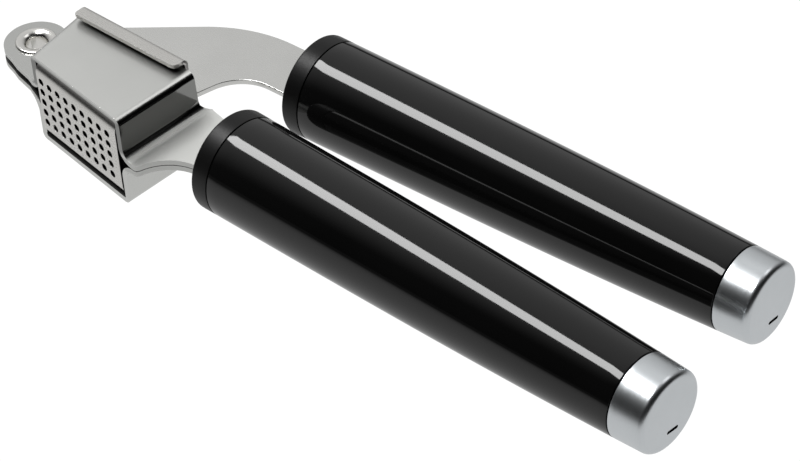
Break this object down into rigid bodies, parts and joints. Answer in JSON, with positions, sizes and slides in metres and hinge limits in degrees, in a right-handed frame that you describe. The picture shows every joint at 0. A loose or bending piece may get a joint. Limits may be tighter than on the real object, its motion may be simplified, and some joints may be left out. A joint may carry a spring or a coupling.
{
  "type": "garlic press",
  "caption": "Hand-held garlic press: a folded steel head with a perforated strainer basket, a hinged press arm with a plunger, and two round tapered handles.",
  "frame": {"origin": "on the hinge axis, half way through the head, at the middle of the hole through the hinge rivet", "axes": "+X along the frame handle away from the hinge, +Y towards the press arm, +Z along the hinge axis"},
  "size_m": [0.2074, 0.0679, 0.0306],
  "materials": {
    "frame_steel": "satin stamped stainless steel with bright bends",
    "basket_steel": "satin stainless steel",
    "arm_steel": "satin flat stainless steel",
    "rivet_steel": "polished steel",
    "grip_black": "high gloss black",
    "collar_black": "fine matt black",
    "cap_metal": "satin metal",
    "core_plastic": "moulded plastic"
  },
  "bodies": {
    "frame": {"upper_frame_shell": "frame_steel", "lower_frame_shell": "frame_steel", "strainer_basket": "basket_steel", "hinge_rivet": "rivet_steel", "frame_collar": "collar_black", "frame_grip": "grip_black", "frame_end_cap": "cap_metal", "frame_core": "core_plastic", "frame_tang_pins": "rivet_steel"},
    "press": {"press_arm": "arm_steel", "arm_collar": "collar_black", "arm_grip": "grip_black", "arm_end_cap": "cap_metal", "arm_core": "core_plastic", "arm_tang_pins": "rivet_steel"},
    "plunger": {"plunger_plate": "basket_steel", "plunger_bracket": "arm_steel", "plunger_pin": "rivet_steel"}
  },
  "joints": [
    {"name": "handle_hinge", "type": "hinge", "parent": "frame", "child": "press", "pos_m": [0, 0, 0], "axis": [0, 0, 1], "range_deg": [-5, 120]},
    {"name": "plunger_swivel", "type": "hinge", "parent": "press", "child": "plunger", "pos_m": [0.03132, -0.00273, 0], "axis": [0, 0, 1], "range_deg": [-4, 4]}
  ]
}
